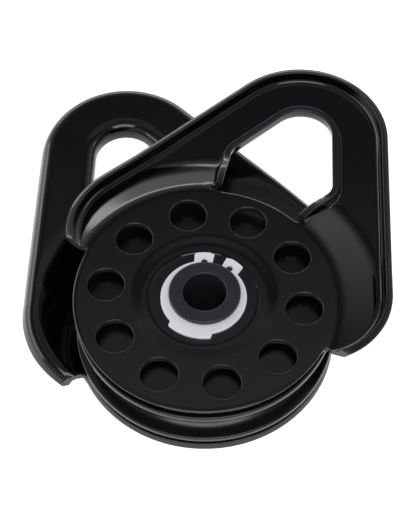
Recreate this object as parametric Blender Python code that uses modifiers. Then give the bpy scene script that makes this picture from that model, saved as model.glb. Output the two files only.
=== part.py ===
"""Single sheave snatch block: two pressed side plates that swing on a hollow pin,
with a grooved sheave running on a bronze bush between them.

Lengths are millimetres until they reach the scene, which is in metres. The pin axis is
the world Z direction. +Y lies midway between the two ears, and the origin is the middle
of the bounding box, on the surface that the lower end of the pin stands on.
"""

import math

import bmesh
import bpy

MM = 0.001

# Hollow pin and its two retaining rings
PIN_R = 17.5
PIN_BORE_R = 10.6
PIN_HALF = 22.9
PIN_CHAMFER = 0.8
GROOVE_R = 16.3
GROOVE_WIDTH = 2.1

# Retaining ring, seen along the pin with its gap towards +Y
CLIP_INNER_R = 16.7
CLIP_OUTER_R = 20.9
CLIP_SHIFT = 1.4
CLIP_LUG_R = 24.6
CLIP_LUG_NEAR = 7.5
CLIP_LUG_FAR = 30.0
CLIP_TAB_HALF = 27.0
CLIP_EYE_R = 1.45
CLIP_EYE_PITCH_R = 21.0
CLIP_EYE_ANGLE = 19.5
CLIP_THICK = 1.6
CLIP_TURN = 73.0
CLIP_ARM_END = 57.0
CLIP_STEP = 3.0

# Side plate, one pressing used twice, with its ear towards +Y
SHEET = 3.5
FACE_Z = 18.7
DISC_R = 64.2
PLATE_BORE_R = 17.8
BOSS_RISE = 0.9
BOSS_TOP_R = 30.0
BOSS_FOOT_R = 36.0
SEAT_R = 27.6
SEAT_SHIFT = 2.2
SEAT_Z = 18.6
HOLE_COUNT = 10
HOLE_PITCH_R = 48.6
HOLE_R = 9.1
JOG = 10.45
JOG_START_R = 66.0
JOG_END_R = 88.0
JOG_ROUND = 3.0
EAR_HALF_ANGLE = 24.7
EAR_OFFSET = 91.85
EAR_TOP_Y = 113.3
EAR_CORNER_Y = 26.3
EAR_CORNER_R = 44.5
LIP_RISE = 5.7
LIP_CREST = 0.8
EYE_OFFSET = 62.95
EYE_KNEE_Y = 88.4
EYE_KNEE_R = 8.0
EYE_FOOT_SLOPE = 24.0
SWING = 23.92

# Sheave, bush and thrust washers
SHEAVE_R = 63.8
SHEAVE_HALF = 11.45
GROOVE_MOUTH_HALF = 8.2
GROOVE_ROOT_R = 8.0
GROOVE_CENTRE_R = 61.0
HUB_R = 27.0
HUB_HALF = 11.65
BUSH_WALL = 2.8
WASHER_R = 27.0
CLEARANCE = 0.3
CLIP_LIFT = 0.25

# Finishes: colour, roughness and how metallic
PAINT = ((0.012, 0.012, 0.014), 0.3, 0.0)
BLACKENED = ((0.02, 0.02, 0.022), 0.4, 0.0)
ZINC = ((0.75, 0.75, 0.76), 0.25, 1.0)
BRONZE = ((0.5, 0.32, 0.14), 0.4, 1.0)
SHARP_EDGE = 30.0

# Fineness of the curves, and how far the cutting shapes run past the plate
STEPS = 60
SMALL_STEPS = 16
LONG_ARC_STEPS = 10
SHORT_ARC_STEPS = 5
WELD = 0.000005
ON_AXIS = 0.001
OVERRUN = 10.0
BORE_SPARE = 2.0
OUTLINE_SPAN = (-10.0, 40.0)
PAN_SPAN = (-12.0, 42.0)
UNDERSIDE_SHIFT = 1.0
FOOT_GAP = 0.6

EAR_TOP_R = EAR_OFFSET - EAR_TOP_Y * math.sin(math.radians(EAR_HALF_ANGLE))
PIN_Y = -(EAR_TOP_Y * math.cos(math.radians(SWING)) + EAR_TOP_R - DISC_R) / 2


def clear_scene():
    for obj in list(bpy.data.objects):
        bpy.data.objects.remove(obj)


def add_collection(name):
    collection = bpy.data.collections.new(name)
    bpy.context.scene.collection.children.link(collection)
    return collection


def finish_material(name, colour, roughness, metallic):
    material = bpy.data.materials.new(name)
    material.use_nodes = True
    shader = material.node_tree.nodes["Principled BSDF"]
    shader.inputs["Base Color"].default_value = (*colour, 1.0)
    shader.inputs["Roughness"].default_value = roughness
    shader.inputs["Metallic"].default_value = metallic
    return material


def polar(radius, degrees, centre=(0.0, 0.0)):
    angle = math.radians(degrees)
    return centre[0] + radius * math.cos(angle), centre[1] + radius * math.sin(angle)


def arc(centre, radius, start, end, count):
    """Points on an arc from start to end in degrees, both ends included."""
    step = (end - start) / count
    return [polar(radius, start + step * i, centre) for i in range(count + 1)]


def circle(centre, radius, count):
    return arc(centre, radius, 0.0, 360.0 * (count - 1) / count, count - 1)


def turned(name, profile, collection):
    """A closed (radius, height) profile turned about Z."""
    mesh = bpy.data.meshes.new(name)
    points = [(radius * MM, 0.0, height * MM) for radius, height in profile]
    edges = [(i, (i + 1) % len(points)) for i in range(len(points))]
    mesh.from_pydata(points, edges, [])
    obj = bpy.data.objects.new(name, mesh)
    collection.objects.link(obj)
    screw = obj.modifiers.new("turn", "SCREW")
    screw.axis = "Z"
    screw.steps = STEPS
    screw.render_steps = STEPS
    screw.use_merge_vertices = True
    screw.merge_threshold = WELD
    return obj


def flat_shape(name, loops, bottom, top, collection):
    """A flat outline with its holes, given thickness between two heights, as a mesh."""
    curve = bpy.data.curves.new(name, "CURVE")
    curve.dimensions = "2D"
    curve.fill_mode = "BOTH"
    curve.extrude = (top - bottom) / 2 * MM
    for loop in loops:
        spline = curve.splines.new("POLY")
        spline.points.add(len(loop) - 1)
        for point, (x, y) in zip(spline.points, loop):
            point.co = (x * MM, y * MM, 0.0, 1.0)
        spline.use_cyclic_u = True
    guide = bpy.data.objects.new(name + "_outline", curve)
    bpy.context.scene.collection.objects.link(guide)
    bpy.context.view_layer.update()
    evaluated = guide.evaluated_get(bpy.context.evaluated_depsgraph_get())
    mesh = bpy.data.meshes.new_from_object(evaluated)
    mesh.name = name
    bpy.data.objects.remove(guide)
    weld(mesh)
    obj = bpy.data.objects.new(name, mesh)
    obj.location = (0.0, 0.0, (top + bottom) / 2 * MM)
    collection.objects.link(obj)
    return obj


def weld(mesh):
    work = bmesh.new()
    work.from_mesh(mesh)
    bmesh.ops.remove_doubles(work, verts=work.verts, dist=WELD)
    bmesh.ops.recalc_face_normals(work, faces=work.faces)
    work.to_mesh(mesh)
    work.free()


def boolean(obj, other, operation):
    modifier = obj.modifiers.new(other.name, "BOOLEAN")
    modifier.operation = operation
    modifier.solver = "EXACT"
    modifier.object = other
    other.hide_render = True
    other.display_type = "WIRE"


def evaluated_mesh(obj, name):
    bpy.context.view_layer.update()
    evaluated = obj.evaluated_get(bpy.context.evaluated_depsgraph_get())
    mesh = bpy.data.meshes.new_from_object(evaluated)
    mesh.name = name
    return mesh


def place(obj, material, location, rotation=(0.0, 0.0, 0.0)):
    obj.data.materials.clear()
    obj.data.materials.append(material)
    obj.location = [value * MM for value in location]
    obj.rotation_euler = [math.radians(value) for value in rotation]
    obj.data.shade_smooth()
    obj.data.set_sharp_from_angle(angle=math.radians(SHARP_EDGE))


# Side plate


def sheet_top(inner_r):
    """Outer face of the pressing: boss, flat disc, rounded jog and flat ear."""
    slope = JOG / (JOG_END_R - JOG_START_R)
    return [
        (inner_r, FACE_Z + BOSS_RISE),
        (BOSS_TOP_R, FACE_Z + BOSS_RISE),
        (BOSS_FOOT_R, FACE_Z),
        (JOG_START_R - JOG_ROUND, FACE_Z),
        (JOG_START_R + JOG_ROUND, FACE_Z - slope * JOG_ROUND),
        (JOG_END_R - JOG_ROUND, FACE_Z - JOG + slope * JOG_ROUND),
        (JOG_END_R + JOG_ROUND, FACE_Z - JOG),
    ]


def blank_profile():
    """Thick turned blank: the sheet's underside below, and room for the lips above."""
    far = EAR_TOP_Y + EAR_TOP_R + OVERRUN
    crest = FACE_Z + LIP_CREST
    ear_lip = FACE_Z - JOG + LIP_RISE
    boss_room = FACE_Z + 2.0 * BOSS_RISE
    bore = PLATE_BORE_R - BORE_SPARE
    top = [
        (bore, boss_room),
        (BOSS_FOOT_R, boss_room),
        (HOLE_PITCH_R, crest),
        (JOG_START_R + 3.0 * JOG_ROUND, crest),
        (JOG_END_R + JOG_ROUND, ear_lip),
        (far, ear_lip),
    ]
    flat_and_jog = sheet_top(bore)[3:]
    under = [(radius - UNDERSIDE_SHIFT, height - SHEET) for radius, height in flat_and_jog]
    under.append((far, FACE_Z - JOG - SHEET))
    return top + under[::-1] + [(bore, FACE_Z - SHEET)]


def pan_profile():
    """Everything above the outer face of the sheet."""
    far = EAR_TOP_Y + EAR_TOP_R + 2.0 * OVERRUN
    floor = sheet_top(PIN_BORE_R) + [(far, FACE_Z - JOG)]
    return [(PIN_BORE_R, 2.0 * FACE_Z), (far, 2.0 * FACE_Z)] + floor[::-1]


def mirrored(half):
    """Adds the left half to a right half whose points run up from the bottom."""
    return half + [(-x, y) for x, y in reversed(half) if abs(x) > ON_AXIS]


def ear_corner_centre():
    half_angle = math.radians(EAR_HALF_ANGLE)
    reach = EAR_OFFSET - EAR_CORNER_R - EAR_CORNER_Y * math.sin(half_angle)
    return reach / math.cos(half_angle), EAR_CORNER_Y


def ear_half(inset):
    """Right half of the lip's outline, from its end at the disc to the top of the ear."""
    centre = ear_corner_centre()
    radius = EAR_CORNER_R - inset
    end = -math.degrees(math.asin(EAR_CORNER_Y / radius))
    corner = arc(centre, radius, end, EAR_HALF_ANGLE, LONG_ARC_STEPS)
    top = arc((0.0, EAR_TOP_Y), EAR_TOP_R - inset, EAR_HALF_ANGLE, 90.0, LONG_ARC_STEPS)
    return corner + top


def foot_point(start, slope, radius):
    """Where a side of the eye, leaning in by a slope, comes down to a circle."""
    along = start[0] * math.sin(slope) + start[1] * math.cos(slope)
    run = along - math.sqrt(along**2 - start[0] ** 2 - start[1] ** 2 + radius**2)
    return start[0] - run * math.sin(slope), start[1] - run * math.cos(slope)


def eye_half(outset, foot_r):
    """Right half of the eye, from the edge of the disc to the top of the eye."""
    half_angle = math.radians(EAR_HALF_ANGLE)
    slope = math.radians(EYE_FOOT_SLOPE)
    offset = EYE_OFFSET + outset
    knee_x = (EYE_OFFSET - EYE_KNEE_Y * math.sin(half_angle)) / math.cos(half_angle)
    turn = (half_angle + slope) / 2
    lean = (half_angle - slope) / 2
    setback = EYE_KNEE_R / math.cos(turn)
    centre = (knee_x - setback * math.cos(lean), EYE_KNEE_Y - setback * math.sin(lean))
    knee = arc(centre, EYE_KNEE_R + outset, -EYE_FOOT_SLOPE, EAR_HALF_ANGLE, SHORT_ARC_STEPS)
    top_r = offset - EAR_TOP_Y * math.sin(half_angle)
    top = arc((0.0, EAR_TOP_Y), top_r, EAR_HALF_ANGLE, 90.0, LONG_ARC_STEPS)
    foot_x, foot_y = foot_point(knee[0], slope, foot_r)
    foot_angle = math.degrees(math.atan2(foot_y, foot_x))
    bottom = arc((0.0, 0.0), foot_r, 90.0, foot_angle, SHORT_ARC_STEPS)
    return bottom + knee + top


def plate_outline():
    half = ear_half(0.0)
    disc = arc((0.0, 0.0), DISC_R, -90.0, 0.0, STEPS // 4)
    return mirrored(disc + half)


def pan_outline():
    half = ear_half(SHEET)
    clear = 2.0 * DISC_R
    start_x, start_y = half[0]
    corners = [(0.0, -clear), (clear, -clear), (clear, start_y - CLEARANCE), (start_x, start_y - CLEARANCE)]
    return mirrored(corners + half)


def pressed_plate(guides):
    """One side plate, ear towards +Y, with its outer face up."""
    blank = turned("plate_blank", blank_profile(), guides)
    holes = [
        circle(polar(HOLE_PITCH_R, 90.0 + 360.0 * i / HOLE_COUNT), HOLE_R, SMALL_STEPS)
        for i in range(HOLE_COUNT)
    ]
    bore = circle((0.0, 0.0), PLATE_BORE_R, STEPS)
    loops = [plate_outline(), mirrored(eye_half(0.0, DISC_R)), bore] + holes
    outline = flat_shape("plate_outline", loops, *OUTLINE_SPAN, guides)
    pan = turned("plate_pan", pan_profile(), guides)
    pan_loops = [pan_outline(), mirrored(eye_half(SHEET, DISC_R + FOOT_GAP))]
    pan_shape = flat_shape("pan_outline", pan_loops, *PAN_SPAN, guides)
    seat_loop = circle((0.0, -SEAT_SHIFT), SEAT_R, STEPS)
    seat = flat_shape("clip_seat", [seat_loop], SEAT_Z, SEAT_Z + OVERRUN, guides)
    boolean(pan, pan_shape, "INTERSECT")
    boolean(blank, outline, "INTERSECT")
    boolean(blank, pan, "DIFFERENCE")
    boolean(blank, seat, "DIFFERENCE")
    blank.hide_render = True
    blank.display_type = "WIRE"
    return evaluated_mesh(blank, "side_plate")


def add_side_plates(parts, guides):
    pressing = pressed_plate(guides)
    turns = {
        "upper_side_plate": (0.0, 0.0, -SWING),
        "lower_side_plate": (0.0, 180.0, SWING),
    }
    for name, rotation in turns.items():
        plate = bpy.data.objects.new(name, pressing.copy())
        parts.objects.link(plate)
        place(plate, finish_material(name, *PAINT), (0.0, PIN_Y, PIN_HALF), rotation)


# Sheave, bush, washers, pin and rings


def ring_profile(inner_r, outer_r, bottom, top):
    return [(inner_r, top), (outer_r, top), (outer_r, bottom), (inner_r, bottom)]


def sheave_profile():
    bore = PIN_R + CLEARANCE / 2 + BUSH_WALL + CLEARANCE
    mouth = math.degrees(math.asin(GROOVE_MOUTH_HALF / (GROOVE_ROOT_R + CLEARANCE)))
    groove = arc((GROOVE_CENTRE_R, 0.0), GROOVE_ROOT_R, 180.0 - mouth, 180.0 + mouth, 8)
    upper = [
        (bore, HUB_HALF),
        (HUB_R, HUB_HALF),
        (HUB_R, SHEAVE_HALF),
        (SHEAVE_R, SHEAVE_HALF),
        (SHEAVE_R, GROOVE_MOUTH_HALF),
    ]
    lower = [(radius, -height) for radius, height in reversed(upper)]
    return upper + groove + lower


def add_sheave(parts):
    sheave = turned("sheave", sheave_profile(), parts)
    place(sheave, finish_material("sheave", *PAINT), (0.0, PIN_Y, PIN_HALF))
    inner = PIN_R + CLEARANCE / 2
    bush = turned("sheave_bush", ring_profile(inner, inner + BUSH_WALL, -HUB_HALF, HUB_HALF), parts)
    place(bush, finish_material("sheave_bush", *BRONZE), (0.0, PIN_Y, PIN_HALF))


def add_thrust_washers(parts):
    low = HUB_HALF + CLEARANCE
    high = FACE_Z - SHEET - CLEARANCE
    profile = ring_profile(PIN_R + CLEARANCE, WASHER_R, low, high)
    for name, turn in (("upper_thrust_washer", 0.0), ("lower_thrust_washer", 180.0)):
        washer = turned(name, profile, parts)
        place(washer, finish_material(name, *BRONZE), (0.0, PIN_Y, PIN_HALF), (0.0, turn, 0.0))


def clip_height():
    """Underside of a fitted ring, just clear of the seat in the plate."""
    return SEAT_Z + CLIP_LIFT


def add_pin(parts):
    groove_low = clip_height() - (GROOVE_WIDTH - CLIP_THICK) / 2
    groove_high = groove_low + GROOVE_WIDTH
    upper = [
        (PIN_BORE_R, PIN_HALF),
        (PIN_R - PIN_CHAMFER, PIN_HALF),
        (PIN_R, PIN_HALF - PIN_CHAMFER),
        (PIN_R, groove_high),
        (GROOVE_R, groove_high),
        (GROOVE_R, groove_low),
        (PIN_R, groove_low),
    ]
    lower = [(radius, -height) for radius, height in reversed(upper)]
    pin = turned("centre_pin", upper + lower, parts)
    place(pin, finish_material("centre_pin", *BLACKENED), (0.0, PIN_Y, PIN_HALF))


def clip_outline():
    """Outer and inner edge of the ring, with two lugs at its gap and a tab behind."""
    lug_start = 90.0 - CLIP_LUG_FAR + CLIP_STEP
    lug_end = 90.0 - CLIP_LUG_NEAR
    tab_end = CLIP_TAB_HALF - 90.0
    half = arc((0.0, 0.0), CLIP_LUG_R, -90.0, tab_end, SHORT_ARC_STEPS)
    half += arc((0.0, -CLIP_SHIFT), CLIP_OUTER_R, tab_end + CLIP_STEP, CLIP_ARM_END, SMALL_STEPS)
    half += arc((0.0, 0.0), CLIP_LUG_R, lug_start, lug_end, SHORT_ARC_STEPS)
    half += arc((0.0, 0.0), CLIP_INNER_R, lug_end - CLIP_STEP, -90.0, SMALL_STEPS)
    return mirrored(half)


def add_clips(parts):
    eyes = [
        circle(polar(CLIP_EYE_PITCH_R, 90.0 + side * CLIP_EYE_ANGLE), CLIP_EYE_R, SMALL_STEPS)
        for side in (-1.0, 1.0)
    ]
    loops = [clip_outline()] + eyes
    bottom = clip_height()
    for name, rotation in (
        ("upper_circlip", (0.0, 0.0, CLIP_TURN - 90.0)),
        ("lower_circlip", (0.0, 180.0, 90.0 - CLIP_TURN)),
    ):
        clip = flat_shape(name, loops, bottom, bottom + CLIP_THICK, parts)
        clip.data.transform(clip.matrix_basis)
        place(clip, finish_material(name, *ZINC), (0.0, PIN_Y, PIN_HALF), rotation)


def main():
    clear_scene()
    parts = add_collection("snatch_block")
    guides = add_collection("guides")
    add_side_plates(parts, guides)
    add_sheave(parts)
    add_thrust_washers(parts)
    add_pin(parts)
    add_clips(parts)


main()
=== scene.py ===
"""Snatch block with one sheave: two pressed side plates on a hollow pin, a grooved
sheave on a bronze bush between them, and a retaining ring at each end of the pin.

Shapes are worked out in millimetres, as seen along the pin. A side plate is drawn with
its ear towards +Y and its outer face up, and is then turned into its place.
"""

import math

import bmesh
import bpy
import numpy as np
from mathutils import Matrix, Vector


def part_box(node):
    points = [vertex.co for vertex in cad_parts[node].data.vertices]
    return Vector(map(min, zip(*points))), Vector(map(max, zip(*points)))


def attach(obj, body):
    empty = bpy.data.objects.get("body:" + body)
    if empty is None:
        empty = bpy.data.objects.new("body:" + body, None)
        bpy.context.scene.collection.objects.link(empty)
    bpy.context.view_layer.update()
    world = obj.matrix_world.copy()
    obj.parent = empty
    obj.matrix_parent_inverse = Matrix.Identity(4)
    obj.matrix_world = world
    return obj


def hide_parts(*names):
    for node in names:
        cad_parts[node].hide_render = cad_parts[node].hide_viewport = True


MM = 0.001

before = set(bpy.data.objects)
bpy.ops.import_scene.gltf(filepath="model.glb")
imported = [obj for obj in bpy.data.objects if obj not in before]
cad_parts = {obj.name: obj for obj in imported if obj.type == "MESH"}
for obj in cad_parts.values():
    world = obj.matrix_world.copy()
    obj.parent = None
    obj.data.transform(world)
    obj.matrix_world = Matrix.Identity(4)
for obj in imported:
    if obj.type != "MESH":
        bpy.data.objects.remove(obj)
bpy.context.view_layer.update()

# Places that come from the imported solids
pin_low, pin_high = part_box("centre_pin")
PIN_HALF = (pin_high.z - pin_low.z) / 2 / MM
PIN_CENTRE = np.array([(pin_low[i] + pin_high[i]) / 2 for i in range(3)])
PIN_R = (pin_high.x - pin_low.x) / 2 / MM
sheave_low, sheave_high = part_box("sheave")
SHEAVE_R = (sheave_high.x - sheave_low.x) / 2 / MM

# Side plate
SWING = 23.92
SHEET = 3.5
FACE_Z = 18.7
DISC_R = 64.2
BORE_R = 17.8
BOSS_RISE = 0.9
BOSS_TOP_R = 30.0
BOSS_FOOT_R = 36.0
SEAT_R = 27.6
SEAT_SHIFT = 2.2
SEAT_Z = 18.6
HOLES = 10
HOLE_PITCH_R = 48.6
HOLE_R = 9.1
JOG = 10.45
JOG_START_R = 66.0
JOG_END_R = 88.0
JOG_ROUND = 3.0
HALF_ANGLE = math.radians(24.7)
EAR_OFFSET = 91.85
EAR_TOP_Y = 113.3
CORNER_Y = 26.3
CORNER_R = 44.5
LIP_RISE = 5.7
LIP_END_RISE = 3.4
LIP_END_R = 74.0
LIP_GROWTH = 14.0
LIP_FLARE = math.radians(20.0)
LIP_BEND_R = 3.0
EYE_OFFSET = 62.95
EYE_KNEE_Y = 88.4
EYE_KNEE_R = 8.0
EYE_FOOT_SLOPE = math.radians(24.0)
EYE_BAND = 6.0
EYE_BEND_R = 2.5
EYE_RISE = 6.0
EYE_END_RISE = 2.4
EYE_END_R = 64.0
EYE_GROWTH = 15.0
RIM_SAG = 0.35
EYE_CUTBACK = 0.7
HOLED_FROM_R = 37.2
HOLED_TO_R = 60.4
ARRIS = 0.55


# ---------------------------------------------------------------- shapes


def unit(angle):
    """Direction at an angle in radians, as the last axis."""
    return np.stack([np.cos(angle), np.sin(angle)], -1)


def ease(t):
    """3 t^2 - 2 t^3 between 0 and 1."""
    t = np.clip(t, 0.0, 1.0)
    return t * t * (3.0 - 2.0 * t)


def bent_ramp(x, start, half):
    """0 before start and x - start after it, joined by a parabola 2 half wide."""
    blend = np.clip(x - start + half, 0.0, 2.0 * half)
    return blend * blend / (4.0 * half) + np.maximum(x - start - half, 0.0)


def jog_height(radius):
    """The sheet's outer face without the boss: flat, down the jog, then flat again."""
    slope = JOG / (JOG_END_R - JOG_START_R)
    down = bent_ramp(radius, JOG_START_R, JOG_ROUND) - bent_ramp(radius, JOG_END_R, JOG_ROUND)
    return FACE_Z - slope * down


def seat_edge(azimuth):
    """Radius of the ring seat's edge: a circle shifted down by SEAT_SHIFT, cut by a ray."""
    along = -SEAT_SHIFT * np.sin(azimuth)
    return along + np.sqrt(SEAT_R**2 - SEAT_SHIFT**2 + along**2)


def boss_height(xy):
    """Rise above the flat disc: a low cone, with the eccentric ring seat pressed into it."""
    radius = np.hypot(xy[..., 0], xy[..., 1])
    azimuth = np.arctan2(xy[..., 1], xy[..., 0])
    t = np.clip((radius - BOSS_TOP_R) / (BOSS_FOOT_R - BOSS_TOP_R), 0.0, 1.0)
    cone = BOSS_RISE * (1.0 - 0.5 * (t + ease(t)))
    inside = ease((seat_edge(azimuth) + 0.18 - radius) / 0.36)
    return cone * (1.0 - inside) + (SEAT_Z - FACE_Z) * inside


class Sheet:
    """Patches of a curved sheet, each a grid of plan points with a height for each."""

    def __init__(self):
        """No patches yet."""
        self.points = []
        self.quads = []
        self.count = 0

    def patch(self, points, closed=False):
        """Adds a grid of points (rows, columns, 3). A closed grid joins its last column."""
        rows, columns = points.shape[:2]
        index = np.arange(rows * columns).reshape(rows, columns)
        if closed:
            index = np.concatenate([index, index[:, :1]], 1)
        quads = np.stack([index[:-1, :-1], index[:-1, 1:], index[1:, 1:], index[1:, :-1]], -1)
        quads = quads.reshape(-1, 4)
        flat = points.reshape(-1, 3)
        if face_normals(flat, quads)[:, 2].sum() < 0.0:
            quads = quads[:, ::-1]
        self.points.append(flat)
        self.quads.append(quads + self.count)
        self.count += len(flat)

    def welded(self):
        """All patches as one surface, with the points on their seams merged."""
        mesh = bpy.data.meshes.new("sheet")
        mesh.from_pydata(np.concatenate(self.points), [], np.concatenate(self.quads))
        work = bmesh.new()
        work.from_mesh(mesh)
        bmesh.ops.remove_doubles(work, verts=work.verts, dist=0.01)
        points = np.array([v.co for v in work.verts])
        faces = [[v.index for v in f.verts] for f in work.faces]
        work.free()
        bpy.data.meshes.remove(mesh)
        return points, np.array([f + f[-1:] * (4 - len(f)) for f in faces])


def face_normals(points, quads):
    """Cross product of each quad's diagonals, so that its length is twice the area."""
    corner = points[quads]
    return np.cross(corner[:, 2] - corner[:, 0], corner[:, 3] - corner[:, 1])


def point_normals(points, quads):
    """Sum of the face normals round each point, weighted by area, at unit length."""
    total = np.zeros_like(points)
    normals = face_normals(points, quads)
    for k in range(4):
        np.add.at(total, quads[:, k], normals)
    return total / np.linalg.norm(total, axis=1, keepdims=True)


def free_edges(quads):
    """Edges that only one face has, in that face's direction."""
    pairs = np.concatenate([quads[:, [k, (k + 1) % 4]] for k in range(4)])
    pairs = pairs[pairs[:, 0] != pairs[:, 1]]
    size = quads.max() + 1
    forward = pairs[:, 0] * size + pairs[:, 1]
    backward = pairs[:, 1] * size + pairs[:, 0]
    return pairs[~np.isin(forward, backward)]


def thickened(points, quads, thickness, rounding, lower=None, steps=3):
    """The sheet given its thickness below, with every free edge rounded.

    The underside is the lower surface moved against its normal by the thickness. At a
    free edge, a quarter circle of the rounding radius turns the top face into the cut
    face, and another turns that into the underside.
    """
    lower = points if lower is None else lower
    normals = point_normals(lower, quads)
    under = lower - thickness * normals
    edges = free_edges(quads)
    along = points[edges[:, 1]] - points[edges[:, 0]]
    along = along / np.linalg.norm(along, axis=1, keepdims=True)
    outward = np.cross(along, (normals[edges[:, 0]] + normals[edges[:, 1]]) / 2)
    total = np.zeros_like(points)
    np.add.at(total, edges[:, 0], outward)
    np.add.at(total, edges[:, 1], outward)
    rim = np.unique(edges)
    out = total[rim]
    length = np.linalg.norm(out, axis=1, keepdims=True)
    out = out / np.maximum(length * length / 2.0, 0.5)
    angle = np.linspace(0.0, math.pi / 2, steps + 1)[1:, None, None]
    top = points[rim] + rounding * (out * np.sin(angle) - normals[rim] * (1.0 - np.cos(angle)))
    angle = angle[::-1]
    low = under[rim] + rounding * (out * np.sin(angle) + normals[rim] * (1.0 - np.cos(angle)))
    ring = np.concatenate([top, low])
    count = len(points)
    where = np.full(count, -1)
    where[rim] = np.arange(len(rim))
    levels = [rim]
    levels += [2 * count + k * len(rim) + np.arange(len(rim)) for k in range(len(ring))]
    levels += [rim + count]
    a, b = where[edges[:, 0]], where[edges[:, 1]]
    sides = [np.stack([up[b], up[a], dn[a], dn[b]], -1) for up, dn in zip(levels, levels[1:])]
    all_points = np.concatenate([points, under, ring.reshape(-1, 3)])
    all_quads = np.concatenate([quads, quads[:, ::-1] + count] + sides)
    edge = np.zeros(len(all_points))
    edge[2 * count :] = 1.0
    edge[rim] = 0.5
    edge[rim + count] = 0.5
    return all_points, all_quads, edge


def piece(name, points, quads, material, body, node, edge=None, sharp=35.0):
    """A finished piece from points in millimetres about the pin's middle."""
    mesh = bpy.data.meshes.new(name)
    place = points * MM + PIN_CENTRE
    faces = [list(dict.fromkeys(q)) for q in quads.tolist()]
    mesh.from_pydata(place, [], faces)
    mesh.update()
    if edge is not None:
        attribute = mesh.attributes.new("arris", "FLOAT", "POINT")
        attribute.data.foreach_set("value", edge.astype(np.float32))
    mesh.shade_smooth()
    mesh.set_sharp_from_angle(angle=math.radians(sharp))
    mesh.materials.append(material)
    obj = bpy.data.objects.new(name, mesh)
    bpy.context.scene.collection.objects.link(obj)
    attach(obj, body)
    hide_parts(node)
    return obj


def turned(profile, count):
    """A closed (radius, height) profile carried round the pin, outside to the right."""
    profile = np.array(profile)
    angle = np.linspace(0.0, 2.0 * math.pi, count, endpoint=False)
    spokes = unit(angle)[:, None, :] * profile[None, :, :1]
    heights = np.broadcast_to(profile[None, :, 1:], spokes.shape[:2] + (1,))
    points = np.concatenate([spokes, heights], -1)
    index = np.arange(count * len(profile)).reshape(count, -1)
    right = np.roll(index, -1, 0)
    quads = np.stack([index, right, np.roll(right, -1, 1), np.roll(index, -1, 1)], -1)
    area = np.roll(profile, -1, 0)
    turn = (profile[:, 0] * area[:, 1] - area[:, 0] * profile[:, 1]).sum()
    quads = quads.reshape(-1, 4)
    return points.reshape(-1, 3), quads if turn > 0.0 else quads[:, ::-1]


def rounded(profile, radii, steps=3):
    """A closed profile whose corners are cut by arcs of the given radii.

    Each arc touches both sides of its corner: it starts and ends radius * tan(turn / 2)
    away from the corner and follows a circle between.
    """
    corner = np.array(profile, float)
    before = np.roll(corner, 1, 0) - corner
    after = np.roll(corner, -1, 0) - corner
    before /= np.linalg.norm(before, axis=1, keepdims=True)
    after /= np.linalg.norm(after, axis=1, keepdims=True)
    result = []
    for point, u, v, radius in zip(corner, before, after, radii):
        half = math.acos(np.clip(u @ v, -1.0, 1.0)) / 2.0
        if radius == 0.0 or half > 1.55:
            result.append(point)
            continue
        middle = point + (u + v) / np.linalg.norm(u + v) * radius / math.sin(half)
        a = point + u * radius / math.tan(half) - middle
        b = point + v * radius / math.tan(half) - middle
        whole = math.pi - 2.0 * half
        for t in np.linspace(0.0, 1.0, steps + 1):
            part = (math.sin((1.0 - t) * whole) * a + math.sin(t * whole) * b) / math.sin(whole)
            result.append(middle + part)
    return np.array(result)


# ---------------------------------------------------------------- side plate


def with_heights(xy):
    """Plan points raised to the plain sheet, without the boss."""
    radius = np.hypot(xy[..., 0], xy[..., 1])
    return np.concatenate([xy, jog_height(radius)[..., None]], -1)


def holed_patch(azimuth, radii, centre, hole_r, stations):
    """A sector of a ring with a round hole in it.

    Its border is walked once round: inner arc, side, outer arc, side. Each station is
    that share of the way from the hole, in the same direction, to the border.
    """
    side = np.full(len(radii) - 1, azimuth[-1])
    inner = radii[0] * unit(azimuth[:-1])
    right = radii[:-1, None] * unit(side)
    outer = radii[-1] * unit(azimuth[::-1][:-1])
    left = radii[::-1][:-1, None] * unit(np.full(len(radii) - 1, azimuth[0]))
    border = np.concatenate([inner, right, outer, left])
    away = border - centre
    hole = centre + hole_r * away / np.linalg.norm(away, axis=1, keepdims=True)
    share = np.array(stations)[:, None, None]
    return hole + (border - hole) * share


def outer_curve(azimuth_count, straight, top_count):
    """Right half of the ear's outline as points and outward directions.

    Corner arc from its cut end at y = 0, straight side, then the arc over the top.
    """
    sine, cosine = math.sin(HALF_ANGLE), math.cos(HALF_ANGLE)
    centre = np.array([(EAR_OFFSET - CORNER_R - CORNER_Y * sine) / cosine, CORNER_Y])
    top_r = EAR_OFFSET - EAR_TOP_Y * sine
    start = -math.asin(CORNER_Y / CORNER_R)
    corner_angle = np.linspace(start, HALF_ANGLE, azimuth_count)
    side_from = centre + CORNER_R * unit(HALF_ANGLE)
    side_to = np.array([0.0, EAR_TOP_Y]) + top_r * unit(HALF_ANGLE)
    side = side_from + (side_to - side_from) * np.array(straight)[:, None]
    top_angle = np.linspace(HALF_ANGLE, math.pi / 2, top_count)[1:]
    points = np.concatenate([
        centre + CORNER_R * unit(corner_angle),
        side,
        np.array([0.0, EAR_TOP_Y]) + top_r * unit(top_angle),
    ])
    angles = np.concatenate([corner_angle, np.full(len(side), HALF_ANGLE), top_angle])
    return points, unit(angles)


def eye_knee(outset):
    """Centre and radius of the eye's lower corner for an outline moved outward."""
    sine, cosine = math.sin(HALF_ANGLE), math.cos(HALF_ANGLE)
    knee_x = (EYE_OFFSET - EYE_KNEE_Y * sine) / cosine
    setback = EYE_KNEE_R / math.cos((HALF_ANGLE + EYE_FOOT_SLOPE) / 2)
    lean = (HALF_ANGLE - EYE_FOOT_SLOPE) / 2
    centre = np.array([knee_x, EYE_KNEE_Y]) - setback * unit(lean)
    return centre, EYE_KNEE_R + outset


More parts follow.
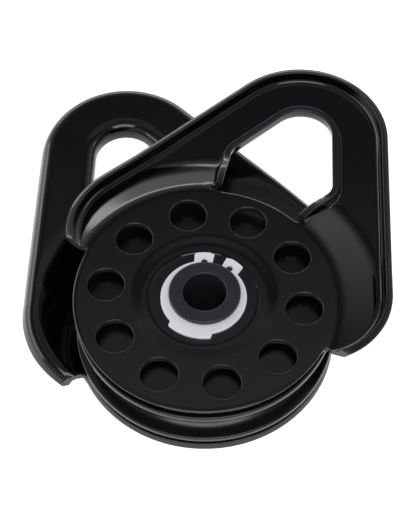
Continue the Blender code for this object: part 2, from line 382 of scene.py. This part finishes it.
def upstand(distance_to_wall, bend_r, lean, rise, count):
    """Profile of a lip as (inward, up) for each height: a bend, then a leaning wall.

    The bend turns by 90 degrees less the lean on its radius. A lip lower than its bend
    stops part of the way round it.
    """
    full = math.pi / 2 - lean
    bend_rise = bend_r * (1.0 - math.cos(full))
    reach = np.arccos(np.clip(1.0 - rise / bend_r, math.cos(full), 1.0))
    part = np.linspace(0.0, 1.0, count)[None, :] * np.minimum(reach, full)[:, None]
    across, up = bend_r * np.sin(part), bend_r * (1.0 - np.cos(part))
    wall = np.array([0.35, 0.7, 0.93, 1.0])[None, :] * np.maximum(rise - bend_rise, 0.0)[:, None]
    across = np.concatenate([across, across[:, -1:] + wall * math.tan(lean)], 1)
    up = np.concatenate([up, up[:, -1:] + wall], 1)
    return distance_to_wall - across, up


def disc_patches(sheet):
    """Boss and ring seat, ten holed sectors, and the rim of the disc."""
    azimuth = np.radians(np.arange(0.0, 360.0, 2.0))
    edge = seat_edge(azimuth)
    seat = np.array([0.0, 0.06, 0.4, 0.8, 0.97])[:, None] * (edge - 0.2 - BORE_R - ARRIS)
    rings = [BORE_R + ARRIS + seat]
    rings.append(edge + np.array([-0.06, 0.06, 0.2, 0.4])[:, None])
    far = np.array([0.3, 0.7, 1.0])[:, None]
    rings.append(edge + 0.4 + far * (30.4 - edge - 0.4))
    rings.append(np.array([31.5, 33.0, 34.5, 35.6, 36.4, HOLED_FROM_R])[:, None] + 0.0 * azimuth)
    radius = np.concatenate(rings)
    sheet.patch(with_heights(radius[..., None] * unit(azimuth)), closed=True)
    radii = np.linspace(HOLED_FROM_R, HOLED_TO_R, 12)
    stations = (0.0, 0.04, 0.12, 0.3, 0.55, 0.8, 1.0)
    for k in range(HOLES):
        middle = 90.0 + 360.0 / HOLES * k
        sector = np.radians(middle + np.arange(-18.0, 18.1, 2.0))
        centre = HOLE_PITCH_R * unit(np.radians(middle))
        grid = holed_patch(sector, radii, centre, HOLE_R + ARRIS, stations)
        sheet.patch(with_heights(grid), closed=True)
    degrees = np.degrees(azimuth)
    in_eye = ease((degrees - 67.0) / 5.0) * ease((113.0 - degrees) / 5.0)
    free = np.maximum(in_eye, ease((degrees - 181.0) / 2.0) * ease((359.0 - degrees) / 2.0))
    rim = DISC_R - EYE_CUTBACK * in_eye - ARRIS * free
    share = np.array([0.0, 0.35, 0.7, 0.9, 1.0])[:, None]
    radius = HOLED_TO_R + (rim - HOLED_TO_R) * share
    grid = with_heights(radius[..., None] * unit(azimuth))
    grid[..., 2] -= RIM_SAG * free * np.maximum(share - 0.7, 0.0) / 0.3
    sheet.patch(grid, closed=True)
    return grid[-1]


def ear_patches(sheet, rim):
    """Ear from the disc's rim and the eye out to the lip, its right half and its left.

    The bend starts in from the outline by what the lip's profile travels and by the
    sheet's share at its top, so the lip's outer face ends on the outline at any height.
    """
    foot = 33
    foot_rows, knee_rows, straight_rows, top_rows = 9, 8, 12, 26
    knee_centre, knee_r = eye_knee(EYE_BAND)
    knee_angle = np.linspace(-EYE_FOOT_SLOPE, HALF_ANGLE, knee_rows)
    knee = knee_centre + knee_r * unit(knee_angle)
    foot_line = rim[foot, :2] + (knee[0] - rim[foot, :2]) * np.linspace(0, 1, foot_rows)[1:-1, None]
    crown_r = EYE_OFFSET + EYE_BAND - EAR_TOP_Y * math.sin(HALF_ANGLE)
    crown_angle = np.linspace(HALF_ANGLE, math.pi / 2, top_rows)
    crown = np.array([0.0, EAR_TOP_Y]) + crown_r * unit(crown_angle)
    side = knee[-1] + (crown[0] - knee[-1]) * np.linspace(0, 1, straight_rows)[1:-1, None]
    inner = np.concatenate([rim[: foot + 1, :2], foot_line, knee, side, crown])
    slope = np.full(foot_rows - 2, -EYE_FOOT_SLOPE)
    inner_angle = np.concatenate([
        np.full(foot + 1, -EYE_FOOT_SLOPE), slope, knee_angle,
        np.full(straight_rows - 2, HALF_ANGLE), crown_angle,
    ])
    inner_out = unit(inner_angle)

    corner_rows = 20
    side_total = len(inner) - corner_rows - (top_rows - 1)
    sine, cosine = math.sin(HALF_ANGLE), math.cos(HALF_ANGLE)
    side_length = np.hypot((EAR_OFFSET - CORNER_R - CORNER_Y * sine) / cosine, EAR_TOP_Y - CORNER_Y)
    tangent = unit(HALF_ANGLE + math.pi / 2)
    side_from = np.array([(EAR_OFFSET - CORNER_R - CORNER_Y * sine) / cosine, CORNER_Y])
    side_from = side_from + CORNER_R * unit(HALF_ANGLE)
    reach = (inner - side_from) @ tangent / side_length
    first = reach[foot]
    near = np.linspace(0.0, first, foot + 2 - corner_rows)[1:]
    knee_end = foot + foot_rows - 1 + knee_rows - 1
    middle = np.linspace(first, reach[knee_end], knee_end - foot + 1)[1:]
    later = reach[knee_end + 1 : knee_end + straight_rows]
    straight = np.concatenate([near, middle, later])[:side_total]
    outer, outward = outer_curve(corner_rows, straight, top_rows)

    turn = ease(np.arange(len(outer)) / 7.0)[:, None]
    across = np.array([1.0, 0.0]) * (1.0 - turn) + outward * turn
    across /= np.linalg.norm(across, axis=1, keepdims=True)
    stretch = 1.0 / np.sum(across * outward, axis=1, keepdims=True)
    outer_r = np.hypot(outer[:, 0], outer[:, 1])
    growth = ease((outer_r - LIP_END_R) / LIP_GROWTH)
    rise = LIP_END_RISE + (LIP_RISE - LIP_END_RISE) * growth - ARRIS
    inward, up = upstand(0.0, LIP_BEND_R, LIP_FLARE, rise, 7)
    steepest = math.cos(math.pi / 2 - LIP_FLARE)
    bent = np.arccos(np.clip(1.0 - rise / LIP_BEND_R, steepest, 1.0))
    band = SHEET * np.sin(bent) - inward[:, -1]
    bend_line = outer - across * stretch * band[:, None]
    share = np.linspace(0.0, 1.0, 25)[None, :, None]
    floor = inner[:, None] + (bend_line - inner)[:, None] * share
    floor_z = jog_height(np.hypot(floor[..., 0], floor[..., 1]))

    lip = outer[:, None] - (across * stretch)[:, None] * (band[:, None] + inward)[..., None]
    lip_z = floor_z[:, -1:] + up
    base_xy = np.concatenate([floor, lip[:, 1:]], 1)
    base_z = np.concatenate([floor_z, lip_z[:, 1:]], 1)
    whole = np.concatenate([base_xy, base_z[..., None]], -1)

    begin = foot + 1
    inner_r = np.hypot(inner[:, 0], inner[:, 1])
    growth = ease((inner_r - EYE_END_R) / EYE_GROWTH)
    eye_rise = EYE_END_RISE + (EYE_RISE - EYE_END_RISE) * growth
    inward, up = upstand(0.0, EYE_BEND_R, 0.0, eye_rise[begin:] - ARRIS, 7)
    eye = inner[begin:, None] + inner_out[begin:, None] * inward[..., None]
    eye = np.concatenate([eye, (floor_z[begin:, :1] + up)[..., None]], -1)[:, ::-1]
    for side_sign in (1.0, -1.0):
        flip = np.array([side_sign, 1.0, 1.0])
        sheet.patch(whole[: begin + 1] * flip)
        sheet.patch(np.concatenate([eye, whole[begin:, 1:]], 1) * flip)


def side_plate():
    """Points, quads and arris weight of one side plate, its ear towards +Y."""
    sheet = Sheet()
    rim = disc_patches(sheet)
    ear_patches(sheet, rim)
    points, quads = sheet.welded()
    radius = np.hypot(points[:, 0], points[:, 1])
    top = points.copy()
    top[:, 2] += np.where(radius < BOSS_FOOT_R + 1.0, boss_height(points[:, :2]), 0.0)
    points, quads, edge = thickened(top, quads, SHEET, ARRIS, lower=points)
    return cut_square(points), quads, edge


def cut_square(points):
    """Lip ends brought back to one plane across the ear.

    A point past the cut slides along the outline, which leaves the cut at the corner
    arc's angle there, until it reaches the plane y = 0.
    """
    lean = math.asin(CORNER_Y / CORNER_R)
    beyond = np.abs(points[:, 0]) > DISC_R + 1.0
    past = np.where(beyond, np.maximum(-points[:, 1], 0.0), 0.0)
    moved = points.copy()
    moved[:, 0] += np.sign(points[:, 0]) * past * math.tan(lean)
    moved[:, 1] += past
    return moved


def quarter_turned(points, degrees, over):
    """Points turned over about Y if asked, then turned about the pin."""
    angle = math.radians(degrees)
    flipped = points * np.array([-1.0, 1.0, -1.0]) if over else points
    matrix = np.array([
        [math.cos(angle), -math.sin(angle), 0.0],
        [math.sin(angle), math.cos(angle), 0.0],
        [0.0, 0.0, 1.0],
    ])
    return flipped @ matrix.T


# ---------------------------------------------------------------- retaining ring

CLIP_INNER_R = 16.7
CLIP_OUTER_R = 20.9
CLIP_SHIFT = 1.4
CLIP_LUG_R = 24.6
CLIP_THICK = 1.6
CLIP_LOW = 18.85
CLIP_GAP = 73.0
CLIP_ROUND = 0.22


def ring_outer(turn):
    """Outer radius at a turn in degrees from the gap: lug, thin arm, wide arm, tab."""
    angle = np.radians(turn)
    along = -CLIP_SHIFT * np.cos(angle)
    arm = along + np.sqrt(CLIP_OUTER_R**2 - CLIP_SHIFT**2 + along**2)
    lug = 1.0 - ease((turn - 29.5) / 4.5)
    tab = ease((turn - 151.0) / 4.0)
    return arm + (CLIP_LUG_R - arm) * np.maximum(lug, tab)


def retaining_ring():
    """Half the ring from its gap, with a holed lug, and the same half mirrored."""
    sheet = Sheet()
    lug = np.radians(90.0 - np.linspace(8.2, 29.0, 9))[::-1]
    radii = np.linspace(CLIP_INNER_R + CLIP_ROUND, CLIP_LUG_R - CLIP_ROUND, 7)
    centre = 19.2 * unit(np.radians(90.0 - 19.5))
    grid = holed_patch(lug, radii, centre, 1.7 + CLIP_ROUND, (0.0, 0.1, 0.4, 0.75, 1.0))
    reach = np.hypot(grid[..., 0], grid[..., 1])
    corner = ease((reach - 22.0) / 2.4) * ease((np.abs(grid[..., 0]) < 5.2) * 1.0)
    grid = grid - 0.5 * corner[..., None] * grid / reach[..., None]
    arm = np.concatenate([np.linspace(29.0, 35.0, 7), np.linspace(37.0, 149.0, 46)])
    arm = np.concatenate([arm, np.linspace(150.5, 156.0, 8), np.linspace(158.0, 180.0, 12)])
    angle = np.radians(90.0 - arm)
    inner = np.full_like(arm, CLIP_INNER_R + CLIP_ROUND)
    outer = ring_outer(arm) - CLIP_ROUND
    share = np.linspace(0.0, 1.0, 7)[:, None]
    band = (inner + (outer - inner) * share)[..., None] * unit(angle)
    for side_sign in (1.0, -1.0):
        flip = np.array([side_sign, 1.0])
        for part, closed in ((grid, True), (band, False)):
            level = np.full(part.shape[:2] + (1,), CLIP_LOW + CLIP_THICK)
            sheet.patch(np.concatenate([part * flip, level], -1), closed=closed)
    points, quads = sheet.welded()
    return thickened(points, quads, CLIP_THICK, CLIP_ROUND)


# ---------------------------------------------------------------- materials


def colour(code):
    """Linear colour of an sRGB hex code."""
    part = np.array([int(code[i : i + 2], 16) / 255.0 for i in (1, 3, 5)])
    linear = np.where(part <= 0.04045, part / 12.92, ((part + 0.055) / 1.055) ** 2.4)
    return (*linear, 1.0)


def add(tree, kind, values=None, links=None, **settings):
    """A node of a kind, with its settings, socket values and incoming links."""
    node = tree.nodes.new(kind)
    for name, value in settings.items():
        setattr(node, name, value)
    for name, value in (values or {}).items():
        node.inputs[name].default_value = value
    for name, source in (links or {}).items():
        tree.links.new(source, node.inputs[name])
    return node


def finish(name, metallic, specular=0.5):
    """A new material with its shader and its Object coordinates."""
    material = bpy.data.materials.new(name)
    material.use_nodes = True
    tree = material.node_tree
    shader = tree.nodes["Principled BSDF"]
    shader.inputs["Metallic"].default_value = metallic
    shader.inputs["Specular IOR Level"].default_value = specular
    place = add(tree, "ShaderNodeTexCoord").outputs["Object"]
    return material, tree, shader, place


def gloss_black_powder_coat(name, dark, light, low, high, peel):
    """Powder coat on pressed steel. Baked powder flows into a gloss with orange peel
    about 3 mm across, a little uneven in its shine, and it lies thin on the arrises."""
    material, tree, shader, place = finish(name, 0.0)
    peel_size, cloud_size, grain_size = 3.0 * MM, 28.0 * MM, 0.5 * MM
    cloud = add(tree, "ShaderNodeTexNoise", {"Scale": 1.0 / cloud_size, "Detail": 3.0}, {"Vector": place})
    waves = add(tree, "ShaderNodeTexNoise", {"Scale": 1.0 / peel_size, "Detail": 1.0}, {"Vector": place})
    grain = add(tree, "ShaderNodeTexNoise", {"Scale": 1.0 / grain_size, "Detail": 2.0}, {"Vector": place})
    shine = add(
        tree, "ShaderNodeMapRange",
        {"From Min": 0.3, "From Max": 0.7, "To Min": low, "To Max": high},
        {"Value": cloud.outputs["Fac"]},
    )
    tint = {6: colour(dark), 7: colour(light)}
    mix = add(tree, "ShaderNodeMix", tint, {0: cloud.outputs["Fac"]}, data_type="RGBA")
    arris = add(tree, "ShaderNodeAttribute", attribute_name="arris")
    patchy = {0: arris.outputs["Fac"], 1: grain.outputs["Fac"]}
    thin = add(tree, "ShaderNodeMath", links=patchy, operation="MULTIPLY")
    worn = add(
        tree, "ShaderNodeMix", {7: colour("#2a2a2e")}, {0: thin.outputs[0], 6: mix.outputs[2]},
        data_type="RGBA",
    )
    bump = add(
        tree, "ShaderNodeBump", {"Strength": peel, "Distance": 0.12 * MM}, {"Height": waves.outputs["Fac"]}
    )
    tree.links.new(worn.outputs[2], shader.inputs["Base Color"])
    tree.links.new(shine.outputs["Result"], shader.inputs["Roughness"])
    tree.links.new(bump.outputs["Normal"], shader.inputs["Normal"])
    return material


def turned_metal(name, dark, light, metallic, low, high, pitch, depth):
    """Turned metal: fine rings left by the tool, with stains and dull patches."""
    material, tree, shader, place = finish(name, metallic)
    middle = [-PIN_CENTRE[0], -PIN_CENTRE[1], -PIN_CENTRE[2]]
    centred = add(tree, "ShaderNodeMapping", {"Location": middle}, {"Vector": place})
    stain = add(tree, "ShaderNodeTexNoise", {"Scale": 1.0 / (7.0 * MM), "Detail": 5.0}, {"Vector": place})
    rings = add(
        tree, "ShaderNodeTexWave",
        {"Scale": 1.0 / (pitch * MM) / math.tau, "Distortion": 0.6, "Detail": 2.0},
        {"Vector": centred.outputs["Vector"]},
        wave_type="RINGS", rings_direction="Z",
    )
    tint = {6: colour(dark), 7: colour(light)}
    mix = add(tree, "ShaderNodeMix", tint, {0: stain.outputs["Fac"]}, data_type="RGBA")
    shine = add(
        tree, "ShaderNodeMapRange",
        {"From Min": 0.3, "From Max": 0.7, "To Min": low, "To Max": high},
        {"Value": stain.outputs["Fac"]},
    )
    bump = add(
        tree, "ShaderNodeBump", {"Strength": depth, "Distance": 0.03 * MM}, {"Height": rings.outputs["Fac"]}
    )
    tree.links.new(mix.outputs[2], shader.inputs["Base Color"])
    tree.links.new(shine.outputs["Result"], shader.inputs["Roughness"])
    tree.links.new(bump.outputs["Normal"], shader.inputs["Normal"])
    return material


# ---------------------------------------------------------------- pieces

plate_paint = gloss_black_powder_coat("gloss_black_powder_coat", "#040405", "#070709", 0.09, 0.15, 0.04)
sheave_paint = gloss_black_powder_coat("black_sheave_enamel", "#060608", "#0a0a0d", 0.2, 0.28, 0.04)
pin_steel = turned_metal("blackened_pin_steel", "#1d1d21", "#26262b", 0.0, 0.3, 0.4, 0.6, 0.2)
zinc = turned_metal("zinc_plated_spring_steel", "#f0f1f2", "#fcfcfd", 0.12, 0.4, 0.52, 0.45, 0.2)
bronze = turned_metal("turned_bronze", "#8a6034", "#b58a4e", 1.0, 0.26, 0.38, 0.5, 0.3)

points, quads, edge = side_plate()
for name, turn, over, body, node in (
    ("plate_upper", -SWING, False, "upper_plate", "upper_side_plate"),
    ("plate_lower", SWING, True, "lower_plate", "lower_side_plate"),
):
    piece(name, quarter_turned(points, turn, over), quads, plate_paint, body, node, edge)

points, quads, edge = retaining_ring()
for name, turn, over, node in (
    ("ring_upper", CLIP_GAP - 90.0, False, "upper_circlip"),
    ("ring_lower", 90.0 - CLIP_GAP, True, "lower_circlip"),
):
    piece(name, quarter_turned(points, turn, over), quads, zinc, "pin_unit", node)

BUSH_R = 20.45
HUB_R = 27.0
HUB_HALF = 11.65
SHEAVE_HALF = 11.45
MOUTH_HALF = 8.2
ROOT_R = 8.0
ROOT_CENTRE_R = 61.0

mouth = math.asin(MOUTH_HALF / 8.3)
root_angle = np.linspace(math.pi - mouth, math.pi + mouth, 21)
root = np.array([ROOT_CENTRE_R, 0.0]) + ROOT_R * unit(root_angle)
cheek = rounded(
    [(20.75, 0.0), (20.75, HUB_HALF), (HUB_R, HUB_HALF), (HUB_R + 0.2, SHEAVE_HALF),
     (SHEAVE_R, SHEAVE_HALF), (SHEAVE_R, MOUTH_HALF), (root[0, 0], root[0, 1]), (40.0, 0.0)],
    (0.0, 0.4, 0.2, 0.1, 1.0, 0.9, 0.0, 0.0),
)
cheek = cheek[1:-2]
half = np.concatenate([cheek, root[:10]])
profile = np.concatenate([half, root[10:11], half[::-1] * np.array([1.0, -1.0])])
points, quads = turned(profile, 240)
piece("sheave_wheel", points, quads, sheave_paint, "sheave_unit", "sheave")

bush_in = PIN_R + 0.15
profile = rounded(
    [(bush_in, -HUB_HALF), (BUSH_R, -HUB_HALF), (BUSH_R, HUB_HALF), (bush_in, HUB_HALF)], (0.4,) * 4
)
points, quads = turned(profile, 160)
piece("bush", points, quads, bronze, "sheave_unit", "sheave_bush")

washer_in, washer_low, washer_high = PIN_R + 0.3, 11.95, 14.9
profile = rounded(
    [(washer_in, washer_low), (HUB_R, washer_low), (HUB_R, washer_high), (washer_in, washer_high)],
    (0.3,) * 4,
)
points, quads = turned(profile, 160)
for name, over, body, node in (
    ("washer_upper", False, "upper_washer", "upper_thrust_washer"),
    ("washer_lower", True, "lower_washer", "lower_thrust_washer"),
):
    piece(name, quarter_turned(points, 0.0, over), quads, bronze, body, node)

BORE = 10.6
GROOVE_R, GROOVE_LOW, GROOVE_HIGH = 16.3, 18.6, 20.7
upper = rounded(
    [(BORE, 0.0), (BORE, PIN_HALF), (PIN_R, PIN_HALF), (PIN_R, GROOVE_HIGH), (GROOVE_R, GROOVE_HIGH),
     (GROOVE_R, GROOVE_LOW), (PIN_R, GROOVE_LOW), (PIN_R, 0.0)],
    (0.0, 0.7, 0.8, 0.1, 0.15, 0.15, 0.1, 0.0),
)[1:-1]
profile = np.concatenate([upper, upper[::-1] * np.array([1.0, -1.0])])
points, quads = turned(profile, 180)
piece("pin", points, quads, pin_steel, "pin_unit", "centre_pin")

# ---------------------------------------------------------------- floor, light, camera

FLOOR_GAP = 0.0001
grid = np.linspace(-6.0, 6.0, 3)
floor_x, floor_y = np.meshgrid(grid, grid)
floor_points = np.stack([floor_x, floor_y, 0.0 * floor_x - FLOOR_GAP], -1).reshape(-1, 3)
index = np.arange(9).reshape(3, 3)
floor_quads = np.stack([index[:-1, :-1], index[:-1, 1:], index[1:, 1:], index[1:, :-1]], -1)
floor_mesh = bpy.data.meshes.new("studio_floor")
floor_mesh.from_pydata(floor_points, [], floor_quads.reshape(-1, 4).tolist())
glowing_floor_paint, floor_tree, floor_shader, floor_place = finish("glowing_floor_with_painted_shade", 0.0, 0.1)
floor_shader.inputs["Base Color"].default_value = colour("#fbfbfb")
floor_shader.inputs["Roughness"].default_value = 0.9
# Painted light and shade: the floor glows on its own and lights the parts from below. Its glow falls to
# nothing within 35 mm of the pin's middle and is full only from 60 mm on, which paints a dark shade on the
# floor under the block.
floor_shader.inputs["Emission Color"].default_value = colour("#ffffff")
floor_middle = add(
    floor_tree, "ShaderNodeVectorMath", {1: PIN_CENTRE * [1, 1, 0]}, {0: floor_place},
    operation="DISTANCE",
)
floor_glow_with_painted_shade = add(
    floor_tree, "ShaderNodeMapRange",
    {"From Min": 0.035, "From Max": 0.06, "To Min": 0.0, "To Max": 0.75},
    {"Value": floor_middle.outputs["Value"]},
)
floor_tree.links.new(floor_glow_with_painted_shade.outputs["Result"], floor_shader.inputs["Emission Strength"])
floor_mesh.materials.append(glowing_floor_paint)
floor = bpy.data.objects.new("studio_floor", floor_mesh)
bpy.context.scene.collection.objects.link(floor)

world = bpy.data.worlds.new("studio")
bpy.context.scene.world = world
world.use_nodes = True
sky = world.node_tree
sky_place = add(sky, "ShaderNodeTexCoord").outputs["Generated"]
sky_parts = add(sky, "ShaderNodeSeparateXYZ", links={"Vector": sky_place})
ramp = add(sky, "ShaderNodeValToRGB", links={"Fac": sky_parts.outputs["Z"]})
for stop, position, code in ((0, 0.04, "#e2e2e8"), (1, 1.0, "#8a8a90")):
    ramp.color_ramp.elements[stop].position = position
    ramp.color_ramp.elements[stop].color = colour(code)
sky_bands = ((0.3, "#d4d4da"), (0.52, "#a8a8b0"), (0.7, "#70707a"), (0.8, "#5c5c64"), (0.87, "#b4b4bc"))
for position, code in sky_bands:
    ramp.color_ramp.elements.new(position).color = colour(code)
background = sky.nodes["Background"]
sky.links.new(ramp.outputs["Color"], background.inputs["Color"])
background.inputs["Strength"].default_value = 1.0


def soft_light(name, place, size, power):
    """A large rectangular lamp that looks at the pin's middle."""
    lamp = bpy.data.lights.new(name, "AREA")
    lamp.shape = "RECTANGLE"
    lamp.size, lamp.size_y = size
    lamp.energy = power
    obj = bpy.data.objects.new(name, lamp)
    obj.location = place
    aim = PIN_CENTRE - np.array(place)
    flat = math.hypot(aim[0], aim[1])
    obj.rotation_euler = (math.atan2(flat, -aim[2]), 0.0, math.atan2(aim[1], aim[0]) - math.pi / 2)
    bpy.context.scene.collection.objects.link(obj)


soft_light("left_softbox", (-1.45, 0.2, 0.45), (2.0, 0.6), 8.0)
soft_light("back_strip", (-0.25, 1.5, 0.34), (1.5, 0.16), 2.6)
soft_light("right_strip", (1.5, 0.1, 0.5), (1.2, 0.12), 2.0)
soft_light("front_key", (0.1, -1.1, 1.45), (1.5, 0.7), 13.0)

lens = bpy.data.cameras.new("camera")
lens.lens = 134.69
lens.sensor_width = 36.0
camera = bpy.data.objects.new("camera", lens)
camera.location = (0.0216, -0.5482, 0.8374)
camera.rotation_euler = (math.radians(33.555), 0.0, math.radians(2.2575))
bpy.context.scene.collection.objects.link(camera)
bpy.context.scene.camera = camera
bpy.context.scene.view_settings.view_transform = "Standard"
